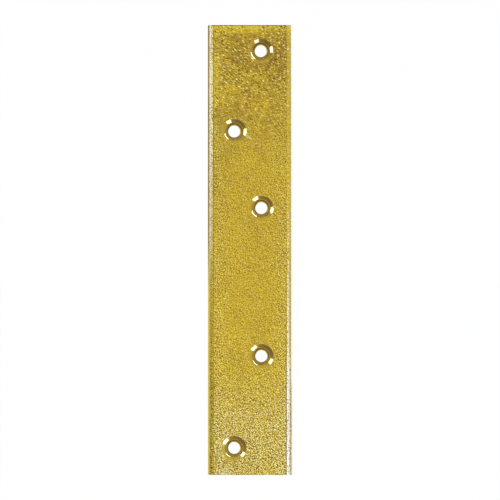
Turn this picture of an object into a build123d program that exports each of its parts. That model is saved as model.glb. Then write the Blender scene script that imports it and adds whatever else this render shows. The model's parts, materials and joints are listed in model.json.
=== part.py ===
from build123d import *
import math
import os

# Mending plate: one flat strip of steel with five countersunk screw holes.
# It lies on its back face at z = 0, centred on the origin. Its length runs
# along Y and its width along X, and the countersinks open upwards.
# All sizes are in millimetres and all angles in degrees.

# Strip
LENGTH = 160.0
WIDTH = 30.0
THICKNESS = 3.0

# Rolled long edges, seen in the strip's cross-section
CREASE_ANGLE = 15.0  # slope at which the rounding leaves the flat face
SHOULDER_ANGLE = 45.0  # slope at which the shoulder passes into the nose
SHOULDER_RADIUS = 3.5
NOSE_RADIUS = 1.2
BACK_ARRIS_RADIUS = 0.4

# Sheared ends
END_ROLLOVER_RADIUS = 0.3
CORNER_RADIUS = 0.3
WORN_CORNER_RADIUS = 0.6

# Screw holes, as (x, y) of each centre
LEFT_ROW = -5.65
RIGHT_ROW = 4.0
STRAY_HOLE = 3.8  # the first hole sits a little inside its row
HOLE_CENTRES = [
    (STRAY_HOLE, 70.8),
    (LEFT_ROW, 42.2),
    (RIGHT_ROW, 14.9),
    (RIGHT_ROW, -37.8),
    (LEFT_ROW, -70.5),
]
BORE_RADIUS = 2.1
LIP_RADIUS = 3.1  # where the countersink meets the steeper lip above the bore
RIM_RADIUS = 4.44
SINK_ANGLE = 114.0  # included angles
LIP_ANGLE = 60.0

# How far the cutting shapes reach past the strip
OVERRUN = 1.0


def long_edge_width():
    """Width of the rounding along each long edge, measured across the face."""
    crease_sine = math.sin(math.radians(CREASE_ANGLE))
    shoulder_sine = math.sin(math.radians(SHOULDER_ANGLE))
    return SHOULDER_RADIUS * (shoulder_sine - crease_sine) + NOSE_RADIUS * (1 - shoulder_sine)


def strip():
    """The rolled strip, longer than the plate: half its section, mirrored and extruded."""
    crease = math.radians(CREASE_ANGLE)
    flat_end = (WIDTH / 2 - long_edge_width(), THICKNESS)
    downhill = (math.cos(crease), -math.sin(crease))
    face = Line((0, THICKNESS), flat_end)
    shoulder = JernArc(flat_end, downhill, SHOULDER_RADIUS, CREASE_ANGLE - SHOULDER_ANGLE)
    nose = JernArc(shoulder @ 1, shoulder % 1, NOSE_RADIUS, SHOULDER_ANGLE - 90)
    side = Line(nose @ 1, (WIDTH / 2, BACK_ARRIS_RADIUS))
    arris = JernArc(side @ 1, (0, -1), BACK_ARRIS_RADIUS, -90)
    back = Line(arris @ 1, (0, 0))
    middle = Line((0, 0), (0, THICKNESS))
    half = make_face(Curve() + [face, shoulder, nose, side, arris, back, middle])
    section = half + mirror(half, Plane.YZ)
    return extrude(Plane.XZ * section, LENGTH / 2 + OVERRUN, both=True)


def cut_to_length():
    """The block that the strip is cut to: its plan with all corners eased, one of them more."""
    plan = Rectangle(WIDTH, LENGTH)
    *sharp_corners, worn_corner = plan.vertices().sort_by(lambda corner: corner.X + corner.Y)
    plan = fillet(sharp_corners, CORNER_RADIUS)
    worn_corner = plan.vertices().sort_by(lambda corner: corner.X + corner.Y)[-1]
    plan = fillet(worn_corner, WORN_CORNER_RADIUS)
    return extrude(plan, THICKNESS)


def sheared_ends():
    """The block that rolls over the top edge of both ends: its side view, extruded."""
    side_view = Pos(0, THICKNESS / 2) * Rectangle(LENGTH, THICKNESS)
    top_corners = side_view.vertices().group_by(Axis.Y)[-1]
    side_view = fillet(top_corners, END_ROLLOVER_RADIUS)
    return extrude(Plane.YZ * side_view, WIDTH / 2 + OVERRUN, both=True)


def screw_hole():
    """The shape cut away for one hole: bore, steep lip and countersink in one turned form."""
    sink_flare = math.tan(math.radians(SINK_ANGLE / 2))  # radius gained per millimetre of height
    lip_flare = math.tan(math.radians(LIP_ANGLE / 2))
    lip_top = THICKNESS - (RIM_RADIUS - LIP_RADIUS) / sink_flare
    land_top = lip_top - (LIP_RADIUS - BORE_RADIUS) / lip_flare
    profile = Polyline(
        (0, -OVERRUN),
        (BORE_RADIUS, -OVERRUN),
        (BORE_RADIUS, land_top),
        (LIP_RADIUS, lip_top),
        (RIM_RADIUS, THICKNESS),
        (RIM_RADIUS + OVERRUN * sink_flare, THICKNESS + OVERRUN),
        (0, THICKNESS + OVERRUN),
        close=True,
    )
    return revolve(Plane.XZ * make_face(profile), Axis.Z)


plate = strip() & cut_to_length() & sheared_ends()
hole = screw_hole()
for x, y in HOLE_CENTRES:
    plate -= Pos(x, y) * hole

os.makedirs("parts", exist_ok=True)
export_step(plate, "parts/plate.step")
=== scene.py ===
import json
import math

import bpy
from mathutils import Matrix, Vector, noise


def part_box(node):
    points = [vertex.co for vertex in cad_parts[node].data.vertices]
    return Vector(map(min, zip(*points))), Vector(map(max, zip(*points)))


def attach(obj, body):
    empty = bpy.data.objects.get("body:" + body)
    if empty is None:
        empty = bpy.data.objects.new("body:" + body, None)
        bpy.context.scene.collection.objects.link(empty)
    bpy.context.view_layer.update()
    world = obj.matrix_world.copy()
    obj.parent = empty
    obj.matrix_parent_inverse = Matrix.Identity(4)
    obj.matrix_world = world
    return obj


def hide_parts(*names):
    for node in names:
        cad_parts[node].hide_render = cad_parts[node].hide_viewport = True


# The mending plate in its frame: metres, +Z out of the countersunk face, +Y along the plate.
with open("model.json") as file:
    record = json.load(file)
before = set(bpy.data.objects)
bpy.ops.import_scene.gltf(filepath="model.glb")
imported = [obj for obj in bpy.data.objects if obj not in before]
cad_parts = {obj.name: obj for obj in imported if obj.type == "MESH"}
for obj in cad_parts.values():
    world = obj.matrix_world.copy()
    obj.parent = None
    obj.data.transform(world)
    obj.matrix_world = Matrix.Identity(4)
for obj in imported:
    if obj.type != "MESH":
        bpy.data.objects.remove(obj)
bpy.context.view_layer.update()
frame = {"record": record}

MM = 0.001
low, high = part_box("plate")
LENGTH = high.y - low.y
WIDTH = high.x - low.x
THICKNESS = high.z - low.z
SCREW_HOLES = [mount for mount in frame["record"]["mounts"] if mount["kind"] == "bore"]

# Long edges, as the CAD strip has them
CREASE_ANGLE = math.radians(15)
SHOULDER_ANGLE = math.radians(45)
SHOULDER_RADIUS = 3.5 * MM
NOSE_RADIUS = 1.2 * MM
BACK_ARRIS_RADIUS = 0.4 * MM
EDGE_WIDTH = (
    SHOULDER_RADIUS * (math.sin(SHOULDER_ANGLE) - math.sin(CREASE_ANGLE))
    + NOSE_RADIUS * (1 - math.sin(SHOULDER_ANGLE))
)

# Sheared ends
END_ROLLOVER_RADIUS = 0.3 * MM
CORNER_RADIUS = 0.3 * MM
WORN_CORNER_RADIUS = 0.6 * MM

# Countersinks: radii from the face down to the bore, slopes from the horizontal
RIM_RADIUS = 4.44 * MM
LIP_RADIUS = 3.1 * MM
SINK_SLOPE = math.radians(33)
LIP_SLOPE = math.radians(60)
RIM_ROUNDING = 0.5 * MM
LIP_ROUNDING = 2.5 * MM
LAND_ROUNDING = 0.2 * MM
BURR_ROUNDING = 0.06 * MM
FACE_MARGIN = 0.3 * MM
BACK_MARGIN = 0.2 * MM

# Painted shade in the holes: the punched wall is dull and painted dark, less so away from its way, and the
# edge of the bore is painted lighter towards its own way. A fade lies between two radii, and a side between
# two dot products with its way.
SHADE_FADE = (3.0 * MM, 2.75 * MM)
SHADE_WAY = Vector((0.26, 0.97))
FAR_SIDE = (0.8, -0.2)
LESS_SHADE = 0.3
LIT_EDGE_FADE = (2.5 * MM, 2.35 * MM)
LIT_WAY = Vector((0.7, 0.7))
LIT_SIDE = (-0.1, 0.3)
LIT_SHARE = 0.8

# Unevenness of the rolled face: wavelength across and along, layer of the noise and depth
FACE_WAVES = [
    (7 * MM, 9 * MM, 0.0, 0.03 * MM),
    (2.6 * MM, 3.2 * MM, 4.0, 0.014 * MM),
]

# Sway of the creases: column of the noise, wavelength, layer and weight
CREASE_WAVES = [
    (3.0, 9 * MM, 0.5, 1.0),
    (7.0, 3 * MM, 2.5, 0.5),
]
CREASE_SWAY = 0.14 * MM
CREASE_REACH = 1.2 * MM

# Mesh spacing: a grid over the strip, and rings in a square patch of it round each hole
PITCH = 0.5 * MM
END_STEPS = [0.6 * MM, 0.4 * MM, 0.25 * MM, 0.14 * MM, 0.06 * MM, 0.02 * MM, 0.0]
PATCH_HALF = 6.0 * MM
GRID_TOLERANCE = 0.0001 * MM
FACE_RINGS = 6
BACK_RINGS = 8
WALL_STEP = 0.2 * MM
ROUNDING_STEPS = 5
SHOULDER_STEPS = 6
NOSE_STEPS = 5
ARRIS_STEPS = 3

# The plating's places are in millimetres: x from the plate's centre line, y along it and z up
# from its back. A ramp is (start, end), which gives 0 to 1, or (start, end, value at start,
# value at end). A band is (start, end, width of its soft edges).

# Noise patterns: scale per millimetre, detail, and a shift that makes each one different
GRAIN = (4.4, 0.0, 0.0)
STREAKS = (3.6, 0.0, 70.0)
MOTTLE = (0.7, 1.0, 40.0)
PATCHES = (0.18, 2.0, 90.0)
SMEARS = (0.5, 2.0, 120.0)
OUTLINE = (0.35, 2.0, 320.0)
PALE_SPOTS = (2.0, 0.0, 160.0)
PITS = (2.0, 0.0, 180.0)
DENTS = (1.8, 1.0, 210.0)
SHEEN_SPECKS = (2.6, 0.0, 230.0)
SHEEN_PATCHES = (1.6, 1.0, 140.0)
BAND_PITS = (2.6, 0.0, 250.0)
BROKEN_LINE = (2.6, 0.0, 270.0)
FLECKS = (2.6, 0.0, 290.0)
UNEVEN_CREASE = (2.6, 0.0, 310.0)

# Directions in which a noise is drawn out: turn on the face, and stretch
ROLLING = (math.radians(-40), 2.2)
SLANT = (math.radians(60), 3.4)

# Colours of the plating, and of the painted highlights and painted shade on it
DEEP_GOLD = (0.525, 0.332, 0.023, 1)
PALE_GOLD = (0.635, 0.421, 0.024, 1)
BRIGHT_GOLD = (0.745, 0.526, 0.028, 1)
SUNK_GOLD = (0.74, 0.54, 0.006, 1)
GRAZING_GOLD = (0.70, 0.50, 0.08, 1)
GOLD_SPECK = (0.94, 0.75, 0.05, 1)
PALE_SPOT = (1.0, 0.92, 0.42, 1)
PALE_STREAK = (1.0, 0.93, 0.45, 1)
# Painted highlight on the left nose
NOSE_SHEEN = (1.0, 0.86, 0.25, 1)
# Pale zinc for the painted glints on the grain, and for paler patches on the face
ZINC_SPECK = (1.0, 0.95, 0.55, 1)
# Painted highlights in the left and right edge bands
ZINC_SHEEN = (1.0, 0.93, 0.60, 1)
PALE_ZINC_SHEEN = (1.0, 0.95, 0.74, 1)
# Painted highlight on the right nose, and bare zinc in the scratches
SHEEN_AND_BARE_ZINC = (1.0, 0.96, 0.85, 1)
BROWN = (0.15, 0.07, 0.02, 1)
SMEAR_BROWN = (0.30, 0.17, 0.025, 1)
# Painted shade on the steep punched wall of each hole
PUNCHED_SHADE_BROWN = (0.16, 0.11, 0.017, 1)

# Parts of the plate, each as a ramp
FRONT = (0.6, 1.2)
FLAT_FACE = (12.6, 13.4, 1.0, 0.0)
SIDES = (6.0, 13.0)
LEFT_HALF = (-1.0, 1.0, 1.0, 0.0)
RIGHT_HALF = (-1.0, 1.0)
UPPER_PART = (20.0, 65.0)
LOWER_PART = (-24.0, -74.0)
LEFT_UPPER = (-24.0, 8.0)
LEFT_LOWER = (10.0, -40.0)
RIGHT_LOWER = (35.0, -45.0)
WIDE_BAND = (-36.0, -44.0)

# Tone of the gold, and brown smears at the upper end
PATCH_TONE = (0.35, 0.65)
MOTTLE_TONE = (0.3, 0.7, 0.0, 0.35)
SMEAR_TONE = (0.62, 0.38)
SMEAR_SHARE = (-13.0, -9.0, 0.3, 0.5)

# Patches of darker, golder and paler tone: centre, half size and strength
TONE_PATCH_EDGE = (1.5, 0.4)
OUTLINE_SWING = (0.0, 1.0, -1.0, 1.0)
BROWN_TONE_PATCHES = [
    ((1.5, 70.0), (11.5, 7.0), 0.4),
    ((9.5, 70.0), (5.0, 8.5), 0.25),
    ((-7.0, 47.5), (8.0, 4.5), 0.35),
    ((12.0, 55.0), (4.5, 22.0), 0.25),
    ((-11.5, 31.0), (5.5, 15.0), 0.28),
    ((1.5, 10.0), (4.0, 4.0), 0.15),
    ((11.5, 14.0), (4.0, 9.0), 0.18),
    ((-12.0, -54.0), (3.0, 8.0), 0.15),
    ((-2.5, -76.0), (6.0, 3.5), 0.32),
]
GOLD_TONE_PATCHES = [
    ((0.0, 79.6), (16.0, 2.2), 0.45),
    ((-12.8, 62.0), (2.2, 9.0), 0.3),
    ((-5.0, -29.5), (7.0, 5.0), 0.12),
]
ZINC_TONE_PATCHES = [
    ((-10.0, -70.5), (3.0, 3.0), 0.15),
    ((-8.9, -79.0), (2.0, 1.6), 0.6),
    ((11.5, -74.0), (3.0, 4.0), 0.15),
]

# Grain: its strength over the plate, and the noise values at which its specks come out. The specks are
# the grain's own tone with painted glints and painted shade in it
MIDDLE_GRAIN = 0.55
LOWER_GRAIN = 0.45
UPPER_GRAIN = -0.4
SIDE_GRAIN = 0.2
SHOULDER_GRAIN = (12.6, 13.4, 1.0, 0.8)
SUNK_SPECKS = (0.0, 1.0, 1.0, 0.7)
GOLD_GRAIN = (0.51, 0.60)
GLINT_GRAIN = (0.61, 0.65)
DARK_GRAIN = (0.46, 0.36)
SPOT_GRAIN = (0.68, 0.75)
PIT_GRAIN = (0.32, 0.25)

# Painted glints: the highest grain turns pale zinc colour, most at the lower end and some along the sides
GLINTS_ALL_OVER = 0.05
LOWER_GLINTS = 0.9
GLINT_START = (-40.0, -68.0)
GLINT_END = (-68.0, -76.0, 1.0, 0.7)
SIDE_GLINTS = 0.2
SIDE_GLINT_RISE = (25.0, 0.0, 0.3, 1.0)

# Streaks at the upper end: painted glints and painted shade, drawn out along one slant
GOLD_STREAKS = (0.64, 0.72, 0.0, 0.9)
PALE_STREAKS = (0.73, 0.75, 0.0, 0.9)
DARK_STREAKS = (0.37, 0.31, 0.0, 0.9)

# Painted highlights and painted shade on both long edges, and a painted shade line along the upper end
SHEEN_PATCH_SHARE = 0.3
SHEEN_SHIFT = -0.15
PIT_SPECKS = (0.38, 0.3, 0.0, 0.9)
CREASE_STRENGTH = 0.5
TOP_LINE = (79.55, 79.75, 0.0, 0.5)

# Left edge: a painted highlight band and flecks at the upper end, a painted highlight on the nose at the
# lower end, and painted shade in the crease, on the shoulder and along an edge line
LEFT_BAND_START = (55.0, 12.0, 13.5, 13.7)
LEFT_BAND_RISE = (0.0, 0.5)
LEFT_BAND_END = (14.3, 14.5, 1.0, 0.0)
LEFT_GAPS = (13.1, 13.8, 0.1)
GAP_SPECKS = (0.5, 0.44, 0.0, 0.9)
LEFT_UPPER_SHEEN = 0.2
LEFT_SHEEN = (0.47, 0.62)
LEFT_FLECKS = (13.1, 13.75, 0.15)
FLECK_SPECKS = (0.47, 0.54)
FLECK_RISE = (5.0, 45.0, 0.35, 1.0)
LEFT_CREASE = (12.8, 13.0, 0.12)
LEFT_CREASE_FADE = (0.0, 1.0, 1.0, 0.5)
CREASE_UNEVENNESS = (0.4, 0.6, 1.9, 0.6)
LEFT_LINE = (14.4, 15.5, 0.15)
LEFT_SHOULDER = (12.8, 13.9, 0.35)
SHOULDER_SHADE = 0.2
LEFT_NOSE = (-14.2, -14.6, 0.0, 0.8)
LEFT_NOSE_RISE = (0.0, 0.5, 0.1, 1.0)

# Right edge: a painted highlight band, wider at the lower end, with painted shade in its crease and along a
# line by the nose
RIGHT_BAND_CENTRE = (0.0, 1.0, 13.55, 13.75)
RIGHT_BAND_HALF = (0.0, 1.0, 0.25, 0.6)
RIGHT_BAND_EDGE = (0.0, 0.15, 1.0, 0.0)
RIGHT_LOWER_SHEEN = 0.36
RIGHT_SHEEN = (0.66, 0.76)
SHOULDER_SHEEN = (13.0, 14.3, 0.3)
SHOULDER_SHEEN_SHARE = 0.3
RIGHT_CREASE = (12.65, 13.0, 0.15)
RIGHT_CREASE_RISE = (0.0, 1.0, 0.6, 1.4)
RIGHT_LINE = (14.1, 14.35, 0.1)
RIGHT_LINE_RISE = (0.0, 1.0, 0.15, 1.0)
LINE_BREAKS = (0.46, 0.56, 1.0, 0.3)
# Painted highlight along the right nose, weaker at the lower end
RIGHT_NOSE = (14.5, 14.65)
RIGHT_NOSE_FADE = (-49.0, -46.0, 0.45, 1.0)
NOSE_FOOT = (1.05, 1.5, 0.2, 1.0)
NOSE_FOOT_WAVE = 0.25

# Scratches: where each one starts and ends
SCRATCHES = [
    ((-9.4, -69.0), (-9.4, -74.0)),
    ((-1.1, 41.0), (0.5, 39.3)),
]
SCRATCH_SIDE = (0.12, 0.27, 1.0, 0.0)
SCRATCH_END = 0.3
SCRATCH_SHARE = 0.4

# Relief, as bump heights
GRAIN_HEIGHT = 0.08 * MM
SUNK_GRAIN = (0.0, 1.0, 1.0, 0.15)
MOTTLE_HEIGHT = 0.04 * MM
SUNK_MOTTLE_HEIGHT = 0.03 * MM
DENT_HEIGHT = 0.02 * MM

# Finish: ramps from the face to the countersinks, and what the punched wall with its painted shade changes
SUNK_COVER = 0.6
ROUGHNESS = (0.0, 1.0, 0.6, 0.1)
PUNCHED_ROUGHNESS = 0.6
COAT = (0.0, 1.0, 0.15, 0.6)
PUNCHED_COAT = (0.0, 1.0, 1.0, 0.0)
COAT_ROUGHNESS = 0.15
COAT_IOR = (0.0, 1.0, 1.5, 2.6)

# Paper floor, in metres
FLOOR_HALF = 3.0
PAPER_WHITE = (0.86, 0.86, 0.86, 1)
PAPER_FIBRES = (900.0, 2.0, 0.0)
FIBRE_STRENGTH = 0.1
FIBRE_HEIGHT = 0.05 * MM
FLOOR_GLOW = 0.985

# Lamps, which all face the plate's centre: place, size and radiance
LAMP_COLOUR = (0.345, 0.46, 1.0)
SOFTBOXES = {
    "left_softbox": ((-0.20, 0.058, 0.092), (0.105, 0.07), 8),
    "right_softbox": ((0.13, -0.188, 0.097), (0.105, 0.12), 8),
    "upper_softbox": ((0.241, 0.208, 0.068), (0.22, 0.045), 14),
}

# World: colours, the side on which it is dark, and ramps over the height in the sky
WHITE = (1, 1, 1, 1)
BLACK = (0, 0, 0, 1)
HORIZON_PALE = (0.67, 0.61, 0.34, 1)
HORIZON_DARK = (0.24, 0.19, 0.24, 1)
ZENITH = (1.14, 1.19, 1.2, 1)
DARK_WAY = (-0.7, -0.7, 0.0)
DARK_SIDE = (-0.3, 0.9)
NEAR_HORIZON = (0.05, 0.3, 0.5, 0.0)
TOWARDS_ZENITH = (0.5, 1.0)

# Camera
CAMERA_HEIGHT = 1.4
PLATE_SHARE = 0.9002  # the plate's length as a share of the view
CLIP_START = 0.01
CLIP_END = 20


# ---------------------------------------------------------------- plate mesh

def spaced(breaks):
    """Grid lines that pass through every break, about one pitch apart in between."""
    lines = [breaks[0]]
    for start, end in zip(breaks, breaks[1:]):
        cells = max(1, round((end - start) / PITCH))
        lines += [start + (end - start) * step / cells for step in range(1, cells + 1)]
    return lines


def arc(centre, radius, start, end, steps):
    """Points of an arc in the (x, z) section, angles from +Z towards +X, the start left out."""
    angles = [start + (end - start) * step / steps for step in range(1, steps + 1)]
    return [(centre[0] + radius * math.sin(a), centre[1] + radius * math.cos(a)) for a in angles]


def edge_section():
    """The right long edge in section, from the crease down to the back: a list of (x, z)."""
    crease = (WIDTH / 2 - EDGE_WIDTH, THICKNESS)
    shoulder_centre = (
        crease[0] - SHOULDER_RADIUS * math.sin(CREASE_ANGLE),
        crease[1] - SHOULDER_RADIUS * math.cos(CREASE_ANGLE),
    )
    step_in = SHOULDER_RADIUS - NOSE_RADIUS
    nose_centre = (
        shoulder_centre[0] + step_in * math.sin(SHOULDER_ANGLE),
        shoulder_centre[1] + step_in * math.cos(SHOULDER_ANGLE),
    )
    arris_centre = (WIDTH / 2 - BACK_ARRIS_RADIUS, BACK_ARRIS_RADIUS)
    section = [crease]
    section += arc(shoulder_centre, SHOULDER_RADIUS, CREASE_ANGLE, SHOULDER_ANGLE, SHOULDER_STEPS)
    section += arc(nose_centre, NOSE_RADIUS, SHOULDER_ANGLE, math.pi / 2, NOSE_STEPS)
    section += [(WIDTH / 2, (nose_centre[1] + arris_centre[1]) / 2), (WIDTH / 2, arris_centre[1])]
    section += arc(arris_centre, BACK_ARRIS_RADIUS, math.pi / 2, math.pi, ARRIS_STEPS)
    return section


def rounded(corners, roundings):
    """The corners of an open section, each inner one replaced by an arc of its rounding radius."""
    path = [Vector(corners[0])]
    for before, corner, after, radius in zip(corners, corners[1:], corners[2:], roundings):
        corner = Vector(corner)
        way_in = (corner - Vector(before)).normalized()
        way_out = (Vector(after) - corner).normalized()
        turn = way_in.angle(way_out)
        tangent = radius * math.tan(turn / 2)
        start = corner - way_in * tangent
        side = Vector((-way_in.y, way_in.x))
        if side.dot(way_out) < 0:
            side = -side
        for step in range(ROUNDING_STEPS + 1):
            angle = turn * step / ROUNDING_STEPS
            path.append(start + radius * (way_in * math.sin(angle) + side * (1 - math.cos(angle))))
    path.append(Vector(corners[-1]))
    return path


def refined(path):
    """The path with its long straight parts divided, so that wear can vary down the wall."""
    fine = [path[0]]
    for start, end in zip(path, path[1:]):
        parts = max(1, round((end - start).length / WALL_STEP))
        fine += [start.lerp(end, part / parts) for part in range(1, parts + 1)]
    return fine


def hole_section():
    """A screw hole's wall in section, from the face down to the back: a list of (radius, z)."""
    bore_radius = SCREW_HOLES[0]["dims"]["r_mm"] * MM
    lip_top = THICKNESS - (RIM_RADIUS - LIP_RADIUS) * math.tan(SINK_SLOPE)
    land_top = lip_top - (LIP_RADIUS - bore_radius) * math.tan(LIP_SLOPE)
    corners = [
        (RIM_RADIUS + FACE_MARGIN, THICKNESS),
        (RIM_RADIUS, THICKNESS),
        (LIP_RADIUS, lip_top),
        (bore_radius, land_top),
        (bore_radius, 0.0),
        (bore_radius + BACK_MARGIN, 0.0),
    ]
    return refined(rounded(corners, (RIM_ROUNDING, LIP_ROUNDING, LAND_ROUNDING, BURR_ROUNDING)))


def corner_radius(x, y):
    """The top right corner is worn rounder than the other three."""
    return WORN_CORNER_RADIUS if x > 0 and y > 0 else CORNER_RADIUS


def quarter_inset(distance, radius):
    """How far a quarter round of that radius has drawn in, at a distance from the end it rounds."""
    if distance >= radius:
        return 0.0
    return radius - math.sqrt(radius ** 2 - (radius - distance) ** 2)


def eased_ends(point):
    """Draws the section in towards both ends: rolled over at the top and rounded at the corners."""
    from_end = LENGTH / 2 - abs(point.y)
    height = 1 - quarter_inset(from_end, END_ROLLOVER_RADIUS) / THICKNESS
    spread = 1 - quarter_inset(from_end, corner_radius(point.x, point.y)) / (WIDTH / 2)
    return Vector((point.x * spread, point.y, point.z * height))


def wandering_crease(point):
    """Rolling leaves the crease along each long edge a little uneven."""
    reach = WIDTH / 2 - abs(point.x)
    near_crease = max(0.0, 1 - abs(reach - EDGE_WIDTH) / CREASE_REACH)
    side = 1 if point.x > 0 else -1
    sway = 0.0
    for column, wavelength, layer, weight in CREASE_WAVES:
        sway += weight * noise.noise(Vector((side * column, point.y / wavelength, layer)))
    return Vector((point.x + side * CREASE_SWAY * sway * near_crease, point.y, point.z))


def hammered(point):
    """Shallow unevenness of the rolled face, always below the nominal surface."""
    if point.z < THICKNESS / 2:
        return point
    sink = 0.0
    for across, along, layer, depth in FACE_WAVES:
        wave = noise.noise(Vector((point.x / across, point.y / along, layer)))
        sink += (1 + wave) / 2 * depth
    return Vector((point.x, point.y, point.z - sink))


def share_between(value, start, end):
    """0 up to the start and 1 from the end on, whichever of the two is the larger."""
    return min(1.0, max(0.0, (value - start) / (end - start)))


def lip_shade_share(radius, way):
    """How much painted shade, with a dull finish, a hole's wall has at that radius, on the side that the way
    points to: less at the bore's edge on the lit side, and less on the far side.
    """
    dull = share_between(radius, *SHADE_FADE)
    inside = share_between(radius, *LIT_EDGE_FADE)
    lit_side = share_between(way.dot(LIT_WAY), *LIT_SIDE)
    far_side = share_between(way.dot(SHADE_WAY), *FAR_SIDE)
    return dull * (1 - LIT_SHARE * inside * lit_side) * (1 - LESS_SHADE * far_side)


class Skin:
    """A closed skin: vertices, each made once under a key, and faces."""

    def __init__(self):
        self.points = []
        self.index = {}
        self.faces = []
        self.countersunk = []
        self.punched_shade = []

    def vertex(self, key, point, countersunk=0.0, punched_shade=0.0):
        if key not in self.index:
            self.index[key] = len(self.points)
            self.points.append(point)
            self.countersunk.append(countersunk)
            self.punched_shade.append(punched_shade)
        return self.index[key]

    def add_face(self, corners, flipped):
        self.faces.append(tuple(reversed(corners) if flipped else corners))

    def add_band(self, ring, next_ring):
        """Quads between two closed rings of as many vertices."""
        count = len(ring)
        for n in range(count):
            after = (n + 1) % count
            self.faces.append((ring[n], ring[after], next_ring[after], next_ring[n]))


def patch_edges(centres):
    """Grid lines on which the square patches round the holes start and end."""
    return sorted({round(centre + side * PATCH_HALF, 6) for centre in centres for side in (-1, 1)})


def patch_span(lines, centre):
    """The first and last grid line of the patch round one hole."""
    inside = [n for n, line in enumerate(lines) if abs(line - centre) < PATCH_HALF + GRID_TOLERANCE]
    return inside[0], inside[-1]


class Lattice:
    """The strip as a box-like grid: columns across, rows along and levels down the long edges."""

    def __init__(self, skin):
        self.skin = skin
        self.section = edge_section()
        self.crease_x = self.section[0][0]
        self.back_edge_x = self.section[-1][0]
        hole_x = [mount["pos_m"][0] for mount in SCREW_HOLES]
        hole_y = [mount["pos_m"][1] for mount in SCREW_HOLES]
        self.inner_x = patch_edges(hole_x)
        self.columns = spaced([-self.crease_x, *self.inner_x, self.crease_x])
        self.rows = [-LENGTH / 2 + step for step in reversed(END_STEPS[1:])]
        self.rows += spaced([-LENGTH / 2 + END_STEPS[0], *patch_edges(hole_y), LENGTH / 2 - END_STEPS[0]])
        self.rows += [LENGTH / 2 - step for step in END_STEPS[1:]]
        self.last_column = len(self.columns) - 1
        self.last_row = len(self.rows) - 1
        self.last_level = len(self.section) - 1
        self.centres = [Vector(centre) for centre in zip(hole_x, hole_y)]
        self.patches = [
            (*patch_span(self.columns, x), *patch_span(self.rows, y)) for x, y in zip(hole_x, hole_y)
        ]

    def back_x(self, x):
        """Columns on the back: as on the face, stretched outside the holes' patches."""
        limit = self.inner_x[-1] if x > 0 else -self.inner_x[0]
        reach = (self.back_edge_x - limit) / (self.crease_x - limit)
        return x if abs(x) <= limit else math.copysign(limit + (abs(x) - limit) * reach, x)

    def place(self, column, row, level):
        x = self.columns[column]
        edge_x, z = self.section[level]
        if column in (0, self.last_column):
            x = math.copysign(edge_x, x)
        else:
            share = level / self.last_level
            x = x * (1 - share) + self.back_x(x) * share
        return Vector((x, self.rows[row], z))

    def corner(self, column, row, level):
        """The skin's vertex at a point of the grid."""
        return self.skin.vertex((column, row, level), self.place(column, row, level))

    def in_patch(self, column, row):
        return any(left <= column < right and near <= row < far for left, right, near, far in self.patches)

    def add_face_and_back(self):
        for column in range(self.last_column):
            for row in range(self.last_row):
                if self.in_patch(column, row):
                    continue
                for level in (0, self.last_level):
                    quad = [self.corner(column, row, level), self.corner(column + 1, row, level)]
                    quad += [self.corner(column + 1, row + 1, level), self.corner(column, row + 1, level)]
                    self.skin.add_face(quad, flipped=level > 0)

    def add_long_edges(self):
        for row in range(self.last_row):
            for level in range(self.last_level):
                for column in (0, self.last_column):
                    quad = [self.corner(column, row, level), self.corner(column, row + 1, level)]
                    quad += [self.corner(column, row + 1, level + 1), self.corner(column, row, level + 1)]
                    self.skin.add_face(quad, flipped=column > 0)

    def add_ends(self):
        for column in range(self.last_column):
            for level in range(self.last_level):
                for row in (0, self.last_row):
                    quad = [self.corner(column, row, level), self.corner(column, row, level + 1)]
                    quad += [self.corner(column + 1, row, level + 1), self.corner(column + 1, row, level)]
                    self.skin.add_face(quad, flipped=row > 0)

    def square(self, patch, level):
        """The skin's vertices round the edge of a patch, as a closed ring."""
        left, right, near, far = patch
        around = [(column, near) for column in range(left, right)]
        around += [(right, row) for row in range(near, far)]
        around += [(column, far) for column in range(right, left, -1)]
        around += [(left, row) for row in range(far, near, -1)]
        return [self.corner(column, row, level) for column, row in around]


def cut_hole(lattice, number, centre, patch):
    """Rings that run from the patch's edge to the hole, down its wall and out again on the back."""
    skin = lattice.skin
    face_square = lattice.square(patch, 0)
    back_square = lattice.square(patch, lattice.last_level)
    edge = [Vector(skin.points[n][:2]) for n in face_square]
    directions = [(point - centre).normalized() for point in edge]

    def flat_ring(name, section_point, share):
        """A ring on the face or back, that share of the way from the patch's edge to the hole."""
        radius, z = section_point
        flat = [point.lerp(centre + way * radius, share) for point, way in zip(edge, directions)]
        return [skin.vertex((number, name, n), Vector((p.x, p.y, z))) for n, p in enumerate(flat)]

    def wall_ring(step, section_point):
        """A ring on the hole's wall, with its countersunk mask and its painted shade."""
        radius, z = section_point
        countersunk = min(1.0, step / ROUNDING_STEPS)
        ring = []
        for n, way in enumerate(directions):
            flat = centre + way * radius
            point = Vector((flat.x, flat.y, z))
            key = (number, ("wall", step), n)
            ring.append(skin.vertex(key, point, countersunk, lip_shade_share(radius, way)))
        return ring

    mouth, *wall = hole_section()
    rings = [face_square]
    for step in range(1, FACE_RINGS + 1):
        rings.append(flat_ring(("face", step), mouth, step / FACE_RINGS))
    for step, section_point in enumerate(wall):
        rings.append(wall_ring(step, section_point))
    for step in range(BACK_RINGS - 1, 0, -1):
        rings.append(flat_ring(("back", step), wall[-1], step / BACK_RINGS))
    rings.append(back_square)
    for ring_above, ring_below in zip(rings, rings[1:]):
        skin.add_band(ring_above, ring_below)


def build_skin():
    """The six sides of the strip, with a hole cut in each patch."""
    skin = Skin()
    lattice = Lattice(skin)
    lattice.add_face_and_back()
    lattice.add_long_edges()
    lattice.add_ends()
    for number, (centre, patch) in enumerate(zip(lattice.centres, lattice.patches)):
        cut_hole(lattice, number, centre, patch)
    return skin


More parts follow.
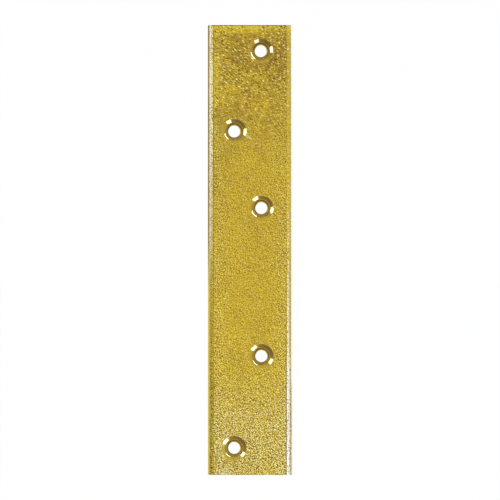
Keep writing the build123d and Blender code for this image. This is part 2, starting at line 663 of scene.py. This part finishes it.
def build_plate(material):
    """The plate as one mesh, whose points carry the two masks that the material reads."""
    skin = build_skin()
    points = [hammered(wandering_crease(eased_ends(point))) for point in skin.points]
    mesh = bpy.data.meshes.new("mending_plate")
    mesh.from_pydata(points, [], skin.faces)
    mesh.update()
    mesh.polygons.foreach_set("use_smooth", [True] * len(mesh.polygons))
    mesh.attributes.new("countersunk", "FLOAT", "POINT").data.foreach_set("value", skin.countersunk)
    # The second mask carries the painted shade of the hole walls, with their dull finish
    mesh.attributes.new("punched_shade", "FLOAT", "POINT").data.foreach_set("value", skin.punched_shade)
    mesh.materials.append(material)
    plate = bpy.data.objects.new("mending_plate", mesh)
    bpy.context.scene.collection.objects.link(plate)
    return plate


# ---------------------------------------------------------------- node trees

class Nodes:
    """A short way to write a node tree: each call adds a node and links its inputs."""

    def __init__(self, tree):
        self.tree = tree
        tree.nodes.clear()

    def add(self, kind, inputs=None, **settings):
        node = self.tree.nodes.new(kind)
        for name, value in settings.items():
            setattr(node, name, value)
        for name, value in (inputs or {}).items():
            if isinstance(value, bpy.types.NodeSocket):
                self.tree.links.new(value, node.inputs[name])
            else:
                node.inputs[name].default_value = value
        return node

    def calc(self, operation, a, b=0.0):
        return self.add("ShaderNodeMath", {0: a, 1: b}, operation=operation).outputs[0]

    def total(self, *values):
        result = values[0]
        for value in values[1:]:
            result = self.calc("ADD", result, value)
        return result

    def product(self, *values):
        result = values[0]
        for value in values[1:]:
            result = self.calc("MULTIPLY", result, value)
        return result

    def ramp(self, value, span, smooth=False):
        """The value taken through a ramp, level before its start and after its end."""
        start, end, at_start, at_end = span if len(span) == 4 else (*span, 0.0, 1.0)
        return self.add(
            "ShaderNodeMapRange",
            {"Value": value, "From Min": start, "From Max": end, "To Min": at_start, "To Max": at_end},
            interpolation_type="SMOOTHSTEP" if smooth else "LINEAR",
        ).outputs["Result"]

    def band(self, value, span):
        """1 where the value lies in the band and 0 outside it."""
        start, end, soft = span
        rise = self.ramp(value, (start, start + soft))
        fall = self.ramp(value, (end, end + soft, 1.0, 0.0))
        return self.product(rise, fall)

    def blend(self, factor, a, b):
        inputs = {"Factor": factor, "A": a, "B": b}
        return self.add("ShaderNodeMix", inputs, data_type="RGBA").outputs["Result"]

    def along(self, vector, way):
        """How far the vector reaches in a direction."""
        inputs = {0: vector, 1: way}
        return self.add("ShaderNodeVectorMath", inputs, operation="DOT_PRODUCT").outputs["Value"]

    def cloud(self, pattern, vector):
        """A noise pattern over these coordinates."""
        scale, detail, shift = pattern
        shifted = self.add("ShaderNodeVectorMath", {0: vector, 1: (shift, shift, shift)}, operation="ADD")
        return self.add(
            "ShaderNodeTexNoise",
            {"Vector": shifted.outputs["Vector"], "Scale": scale, "Detail": detail, "Roughness": 0.5},
        ).outputs["Fac"]

    def bump(self, height, strength=1.0, distance=1.0):
        inputs = {"Height": height, "Strength": strength, "Distance": distance}
        return self.add("ShaderNodeBump", inputs).outputs["Normal"]

    def drawn_out(self, vector, turn, stretch):
        """Coordinates in which a noise comes out longer in one direction across the face."""
        return self.add(
            "ShaderNodeMapping",
            {"Vector": vector, "Rotation": (0, 0, turn), "Scale": (1.0, stretch, 1.0)},
            vector_type="TEXTURE",
        ).outputs["Vector"]


# ---------------------------------------------------------------- plated steel

class Place:
    """Where a point of the surface lies, and how far it belongs to each part of the plate."""

    def __init__(self, make):
        metres = make.add("ShaderNodeTexCoord").outputs["Object"]
        to_millimetres = {"Vector": metres, "Scale": (1 / MM, 1 / MM, 1 / MM)}
        self.point = make.add("ShaderNodeMapping", to_millimetres).outputs["Vector"]
        split = make.add("ShaderNodeSeparateXYZ", {"Vector": self.point}).outputs
        self.x, self.y, self.z = split["X"], split["Y"], split["Z"]
        self.from_middle = make.calc("ABSOLUTE", self.x)
        self.countersunk = make.add("ShaderNodeAttribute", attribute_name="countersunk").outputs["Fac"]
        # The second mask: painted shade of the hole walls, with their dull finish
        self.punched_shade = make.add("ShaderNodeAttribute", attribute_name="punched_shade").outputs["Fac"]
        self.outline = make.ramp(make.cloud(OUTLINE, self.point), OUTLINE_SWING)
        self.specked = make.ramp(self.countersunk, SUNK_SPECKS)
        self.flat = make.ramp(self.from_middle, FLAT_FACE)
        self.side = make.ramp(self.from_middle, SIDES, smooth=True)
        self.upper = make.ramp(self.y, UPPER_PART, smooth=True)
        self.lower = make.ramp(self.y, LOWER_PART, smooth=True)
        self.wide = make.ramp(self.y, WIDE_BAND)
        self.front = make.ramp(self.z, FRONT)
        self.left = make.product(self.front, make.ramp(self.x, LEFT_HALF))
        self.right = make.product(self.front, make.ramp(self.x, RIGHT_HALF))
        self.left_upper = make.product(self.left, make.ramp(self.y, LEFT_UPPER, smooth=True))
        self.left_lower = make.product(self.left, make.ramp(self.y, LEFT_LOWER, smooth=True))
        self.right_lower = make.product(self.right, make.ramp(self.y, RIGHT_LOWER, smooth=True))


def tone_patch(make, place, centre, half_size, strength):
    """A soft oval patch of another tone on the face, with an uneven outline."""
    scale = [1 / half_size[0], 1 / half_size[1], 0]
    shift = [-centre[0] / half_size[0], -centre[1] / half_size[1], 0]
    inputs = {0: place.point, 1: scale, 2: shift}
    offset = make.add("ShaderNodeVectorMath", inputs, operation="MULTIPLY_ADD").outputs["Vector"]
    distance = make.add("ShaderNodeVectorMath", {0: offset}, operation="LENGTH").outputs["Value"]
    return make.ramp(make.total(distance, place.outline), (*TONE_PATCH_EDGE, 0.0, strength), smooth=True)


def scratch(make, place, start, end):
    """A straight mark on the face between two points."""
    start, end = Vector(start), Vector(end)
    along = (end - start).normalized()
    across = Vector((-along.y, along.x))
    reached = make.calc("SUBTRACT", make.along(place.point, (*along, 0)), start.dot(along))
    aside = make.calc("SUBTRACT", make.along(place.point, (*across, 0)), start.dot(across))
    side = make.ramp(make.calc("ABSOLUTE", aside), SCRATCH_SIDE)
    return make.product(make.band(reached, (0.0, (end - start).length, SCRATCH_END)), side)


def toned_gold(make, place, mottle, slanted):
    """The gold of the plating in patches of several tones, with smears and further patches of darker, golder
    and paler tone.
    """
    gold = make.blend(make.ramp(make.cloud(PATCHES, place.point), PATCH_TONE), DEEP_GOLD, PALE_GOLD)
    gold = make.blend(make.ramp(mottle, MOTTLE_TONE), gold, BRIGHT_GOLD)
    smears = make.ramp(make.cloud(SMEARS, slanted), SMEAR_TONE)
    smears = make.product(smears, place.upper, make.ramp(place.x, SMEAR_SHARE))
    gold = make.blend(smears, gold, SMEAR_BROWN)
    kinds = [(BROWN_TONE_PATCHES, SMEAR_BROWN), (GOLD_TONE_PATCHES, GOLD_SPECK), (ZINC_TONE_PATCHES, ZINC_SPECK)]
    for patches_of_tone, colour in kinds:
        gold = make.blend(make.total(*(tone_patch(make, place, *shape) for shape in patches_of_tone)), gold, colour)
    return gold


def grain_strength(make, place):
    """How strong the grain's specks are over the plate: the grain's own tone with painted glints and painted
    shade, stronger at the lower end and the sides, weaker at the upper end.
    """
    strength = make.total(
        MIDDLE_GRAIN,
        make.product(place.lower, LOWER_GRAIN),
        make.product(place.upper, UPPER_GRAIN),
        make.product(place.side, SIDE_GRAIN),
    )
    return make.product(strength, place.specked, make.ramp(place.from_middle, SHOULDER_GRAIN))


def grain_glints(make, place):
    """How strong the painted glints on the grain's tops are: most at the lower end, some along the sides."""
    thin = make.product(make.ramp(place.y, GLINT_START, smooth=True), make.ramp(place.y, GLINT_END))
    side_glints = make.product(place.side, SIDE_GLINTS, make.ramp(place.y, SIDE_GLINT_RISE))
    bare = make.total(GLINTS_ALL_OVER, make.product(thin, LOWER_GLINTS), side_glints)
    return make.product(bare, place.specked, place.flat)


def grained(make, place, gold, grain, slanted):
    """The gold with specks of the grain, streaks at the upper end, and single spots: the grain's own tone
    with painted glints and painted shade, and painted glints in zinc colour.
    """
    strength = grain_strength(make, place)
    streaked = make.product(place.upper, place.specked, place.flat)
    streaks = make.cloud(STREAKS, slanted)
    layers = [
        # Specks: the grain's own tone with painted glints and painted shade; the zinc layer is painted glints
        (grain, GOLD_GRAIN, strength, GOLD_SPECK),
        (grain, GLINT_GRAIN, grain_glints(make, place), ZINC_SPECK),
        (grain, DARK_GRAIN, strength, BROWN),
        # Streaks: painted glints and painted shade
        (streaks, GOLD_STREAKS, streaked, GOLD_SPECK),
        (streaks, PALE_STREAKS, streaked, PALE_STREAK),
        (streaks, DARK_STREAKS, streaked, BROWN),
        (make.cloud(PALE_SPOTS, place.point), SPOT_GRAIN, strength, PALE_SPOT),
        (make.cloud(PITS, place.point), PIT_GRAIN, strength, BROWN),
    ]
    for pattern, span, share, colour in layers:
        gold = make.blend(make.product(make.ramp(pattern, span), share), gold, colour)
    return gold


def left_sheen_band(make, place, flecks):
    """The painted highlight band along the left edge's upper half, with gaps on the side of the face."""
    into_band = make.calc("SUBTRACT", place.from_middle, make.ramp(place.y, LEFT_BAND_START))
    gaps = make.product(make.band(place.from_middle, LEFT_GAPS), make.ramp(flecks, GAP_SPECKS))
    return make.product(
        make.ramp(into_band, LEFT_BAND_RISE),
        make.ramp(place.from_middle, LEFT_BAND_END),
        place.left_upper,
        make.calc("SUBTRACT", 1.0, gaps),
    )


def right_sheen_band(make, place):
    """The painted highlight band along the right edge."""
    off_centre = make.calc("SUBTRACT", place.from_middle, make.ramp(place.wide, RIGHT_BAND_CENTRE))
    half = make.ramp(place.wide, RIGHT_BAND_HALF)
    outside = make.calc("SUBTRACT", make.calc("ABSOLUTE", off_centre), half)
    return make.product(make.ramp(outside, RIGHT_BAND_EDGE), place.right)


def painted_crease_shade(make, place):
    """Painted shade in the creases, on the left nose and shoulder, and along the upper end."""
    uneven = make.ramp(make.cloud(UNEVEN_CREASE, place.point), CREASE_UNEVENNESS)
    left_fade = make.ramp(place.left_lower, LEFT_CREASE_FADE)
    right_rise = make.ramp(place.wide, RIGHT_CREASE_RISE)
    creases = make.total(
        make.product(make.band(place.from_middle, LEFT_CREASE), place.left, left_fade, uneven),
        make.product(make.band(place.from_middle, RIGHT_CREASE), place.right_lower, right_rise),
        make.product(make.band(place.from_middle, LEFT_LINE), place.left_upper),
        make.product(make.band(place.from_middle, LEFT_SHOULDER), place.left_lower, SHOULDER_SHADE),
    )
    # A painted shade line along the upper end
    top_line = make.product(make.ramp(place.y, TOP_LINE), place.front)
    return make.total(make.product(creases, CREASE_STRENGTH), top_line)


def left_edge_sheen(make, place, gold, band, sheen_breakup, flecks):
    """Painted highlights: a pale nose at the lower end; flecks and a band of pale zinc colour at the upper
    end.
    """
    nose_rise = make.ramp(place.left_lower, LEFT_NOSE_RISE)
    nose = make.product(make.ramp(place.x, LEFT_NOSE), place.left, nose_rise)
    gold = make.blend(nose, gold, NOSE_SHEEN)
    # Painted highlight flecks along the left edge's upper end
    fleck_shares = [place.left_upper, make.ramp(flecks, FLECK_SPECKS), make.ramp(place.y, FLECK_RISE)]
    gold = make.blend(make.product(make.band(place.from_middle, LEFT_FLECKS), *fleck_shares), gold, PALE_SPOT)
    sheen_breakup = make.total(sheen_breakup, make.product(place.left_upper, LEFT_UPPER_SHEEN))
    zinc = make.blend(place.left_upper, NOSE_SHEEN, ZINC_SHEEN)
    return make.blend(make.product(band, make.ramp(sheen_breakup, LEFT_SHEEN)), gold, zinc)


def right_edge_sheen(make, place, gold, band, sheen_breakup):
    """A painted highlight band in pale zinc colour, most of it at the lower end."""
    sheen_breakup = make.total(sheen_breakup, make.product(place.right_lower, RIGHT_LOWER_SHEEN))
    return make.blend(make.product(band, make.ramp(sheen_breakup, RIGHT_SHEEN)), gold, PALE_ZINC_SHEEN)


def edge_sheen_and_shade(make, place, gold):
    """Both long edges: painted shade in the creases and along edge lines, and painted highlight bands and
    sheen in pale colours, with dark specks in the bands.
    """
    flecks = make.cloud(FLECKS, place.point)
    left = left_sheen_band(make, place, flecks)
    right = right_sheen_band(make, place)
    sheen_patches = make.product(make.cloud(SHEEN_PATCHES, place.point), SHEEN_PATCH_SHARE)
    sheen_breakup = make.total(make.cloud(SHEEN_SPECKS, place.point), sheen_patches, SHEEN_SHIFT)
    # A painted sheen on the right shoulder
    shoulder_sheen = make.product(make.band(place.from_middle, SHOULDER_SHEEN), place.right, SHOULDER_SHEEN_SHARE)
    gold = make.blend(shoulder_sheen, gold, GOLD_SPECK)
    # Painted shade in the creases and along the edge lines
    gold = make.blend(painted_crease_shade(make, place), gold, BROWN)
    gold = left_edge_sheen(make, place, gold, left, sheen_breakup, flecks)
    gold = right_edge_sheen(make, place, gold, right, sheen_breakup)
    bands = make.total(left, make.product(right, place.right_lower))
    pits = make.product(bands, make.ramp(make.cloud(BAND_PITS, place.point), PIT_SPECKS))
    # A broken line of painted shade by the right nose
    right_line = make.product(
        make.band(place.from_middle, RIGHT_LINE),
        place.right,
        make.ramp(place.wide, RIGHT_LINE_RISE),
        make.ramp(make.cloud(BROKEN_LINE, place.point), LINE_BREAKS),
    )
    return make.blend(make.total(pits, right_line), gold, BROWN)


def nose_sheen_and_scratches(make, place):
    """A painted highlight on the right edge's nose, and bare zinc in the scratches."""
    foot = make.total(place.z, make.product(place.outline, NOSE_FOOT_WAVE))
    # Painted highlight along the right nose
    right_nose_sheen = make.product(
        make.ramp(place.x, RIGHT_NOSE),
        place.right,
        make.ramp(place.y, RIGHT_NOSE_FADE),
        make.ramp(foot, NOSE_FOOT),
    )
    scratches = make.total(*(scratch(make, place, *ends) for ends in SCRATCHES))
    return make.total(right_nose_sheen, make.product(scratches, place.front, SCRATCH_SHARE))


def relief(make, place, grain, mottle):
    """The height of the bumps: mostly grain on the face, mottle and dents in the countersinks."""
    dents = make.cloud(DENTS, place.point)
    return make.total(
        make.product(grain, GRAIN_HEIGHT, make.ramp(place.countersunk, SUNK_GRAIN)),
        make.product(mottle, place.countersunk, SUNK_MOTTLE_HEIGHT),
        make.product(mottle, MOTTLE_HEIGHT),
        make.product(dents, place.countersunk, DENT_HEIGHT),
    )


def plated_steel():
    """Yellow zinc plating on rolled steel: a fine pebbled grain under a thin clear film."""
    material = bpy.data.materials.new("yellow_zinc")
    material.use_nodes = True
    make = Nodes(material.node_tree)
    place = Place(make)
    grain = make.cloud(GRAIN, make.drawn_out(place.point, *ROLLING))
    mottle = make.cloud(MOTTLE, place.point)
    slanted = make.drawn_out(place.point, *SLANT)

    colour = toned_gold(make, place, mottle, slanted)
    # Grain specks and streaks, with painted glints and painted shade
    colour = grained(make, place, colour, grain, slanted)
    # Painted highlights and painted shade on the long edges
    colour = edge_sheen_and_shade(make, place, colour)
    # Painted highlight on the right nose, and bare zinc in the scratches
    colour = make.blend(nose_sheen_and_scratches(make, place), colour, SHEEN_AND_BARE_ZINC)
    colour = make.blend(make.product(place.countersunk, SUNK_COVER), colour, SUNK_GOLD)
    # Painted shade on the punched wall of each hole, lighter on one side
    colour = make.blend(place.punched_shade, colour, PUNCHED_SHADE_BROWN)

    roughness = make.ramp(place.countersunk, ROUGHNESS)
    coat = make.ramp(place.countersunk, COAT)
    normal = make.bump(relief(make, place, grain, mottle))
    shader = make.add(
        "ShaderNodeBsdfPrincipled",
        {
            "Base Color": colour,
            "Metallic": 1.0,
            "Specular Tint": GRAZING_GOLD,
            "Roughness": make.total(roughness, make.product(place.punched_shade, PUNCHED_ROUGHNESS)),
            "Normal": normal,
            "Coat Weight": make.product(coat, make.ramp(place.punched_shade, PUNCHED_COAT)),
            "Coat Roughness": COAT_ROUGHNESS,
            "Coat IOR": make.ramp(place.countersunk, COAT_IOR),
            "Coat Normal": normal,
        },
    )
    make.add("ShaderNodeOutputMaterial", {"Surface": shader.outputs["BSDF"]})
    return material


# ---------------------------------------------------------------- studio

def paper():
    """Plain white paper: it shows white to the camera and in reflections, and keeps the shadow."""
    material = bpy.data.materials.new("white_floor")
    material.use_nodes = True
    make = Nodes(material.node_tree)
    coordinate = make.add("ShaderNodeTexCoord").outputs["Object"]
    normal = make.bump(make.cloud(PAPER_FIBRES, coordinate), FIBRE_STRENGTH, FIBRE_HEIGHT)
    sheet = make.add("ShaderNodeBsdfDiffuse", {"Color": PAPER_WHITE, "Normal": normal})
    glow = make.add("ShaderNodeEmission", {"Color": WHITE, "Strength": 1.0})
    path = make.add("ShaderNodeLightPath").outputs
    seen = make.calc("MAXIMUM", path["Is Camera Ray"], path["Is Glossy Ray"])
    seen = make.calc("MAXIMUM", seen, path["Is Transmission Ray"])
    share = make.product(seen, FLOOR_GLOW)
    mix = make.add("ShaderNodeMixShader", {0: share, 1: sheet.outputs[0], 2: glow.outputs[0]})
    make.add("ShaderNodeOutputMaterial", {"Surface": mix.outputs[0]})
    return material


def build_floor():
    """One flat sheet, level with the plate's back."""
    signs = [(-1, -1), (1, -1), (1, 1), (-1, 1)]
    mesh = bpy.data.meshes.new("floor")
    mesh.from_pydata([(x * FLOOR_HALF, y * FLOOR_HALF, 0) for x, y in signs], [], [(0, 1, 2, 3)])
    mesh.materials.append(paper())
    floor = bpy.data.objects.new("floor", mesh)
    floor.location.z = low.z
    bpy.context.scene.collection.objects.link(floor)


def softbox(name, place, size, radiance):
    """A rectangular lamp that faces the plate's centre and shines with that radiance."""
    light = bpy.data.lights.new(name, "AREA")
    light.shape = "RECTANGLE"
    light.size, light.size_y = size
    light.color = LAMP_COLOUR
    light.energy = radiance * math.pi * size[0] * size[1]
    lamp = bpy.data.objects.new(name, light)
    lamp.location = place
    lamp.rotation_euler = (-Vector(place)).to_track_quat("-Z", "Y").to_euler()
    bpy.context.scene.collection.objects.link(lamp)


def build_world():
    """White to the camera, and to the plate a soft room: bright overhead, dark at the lower left."""
    world = bpy.data.worlds.new("studio")
    bpy.context.scene.world = world
    world.use_nodes = True
    make = Nodes(world.node_tree)
    direction = make.add("ShaderNodeTexCoord").outputs["Generated"]
    height = make.add("ShaderNodeSeparateXYZ", {"Vector": direction}).outputs["Z"]
    dark_side = make.ramp(make.along(direction, DARK_WAY), DARK_SIDE)
    room = make.blend(dark_side, HORIZON_PALE, HORIZON_DARK)
    room = make.blend(make.ramp(height, NEAR_HORIZON), room, BLACK)
    room = make.blend(make.ramp(height, TOWARDS_ZENITH, smooth=True), room, ZENITH)
    seen = make.add("ShaderNodeLightPath").outputs["Is Camera Ray"]
    sky = make.add("ShaderNodeBackground", {"Color": make.blend(seen, room, WHITE), "Strength": 1.0})
    make.add("ShaderNodeOutputWorld", {"Surface": sky.outputs["Background"]})


def build_camera():
    """Straight above the plate, whose length takes nine tenths of the view."""
    camera_data = bpy.data.cameras.new("camera")
    camera = bpy.data.objects.new("camera", camera_data)
    camera.location = (0, 0, CAMERA_HEIGHT)
    view_width = LENGTH / PLATE_SHARE
    camera_data.angle = 2 * math.atan(view_width / 2 / (CAMERA_HEIGHT - THICKNESS))
    camera_data.clip_start = CLIP_START
    camera_data.clip_end = CLIP_END
    bpy.context.scene.collection.objects.link(camera)
    bpy.context.scene.camera = camera


# ---------------------------------------------------------------- assembly

plate = build_plate(plated_steel())
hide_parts("plate")
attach(plate, "root")
build_floor()
build_world()
for lamp_name, lamp_settings in SOFTBOXES.items():
    softbox(lamp_name, *lamp_settings)
build_camera()
bpy.context.scene.view_settings.view_transform = "Standard"
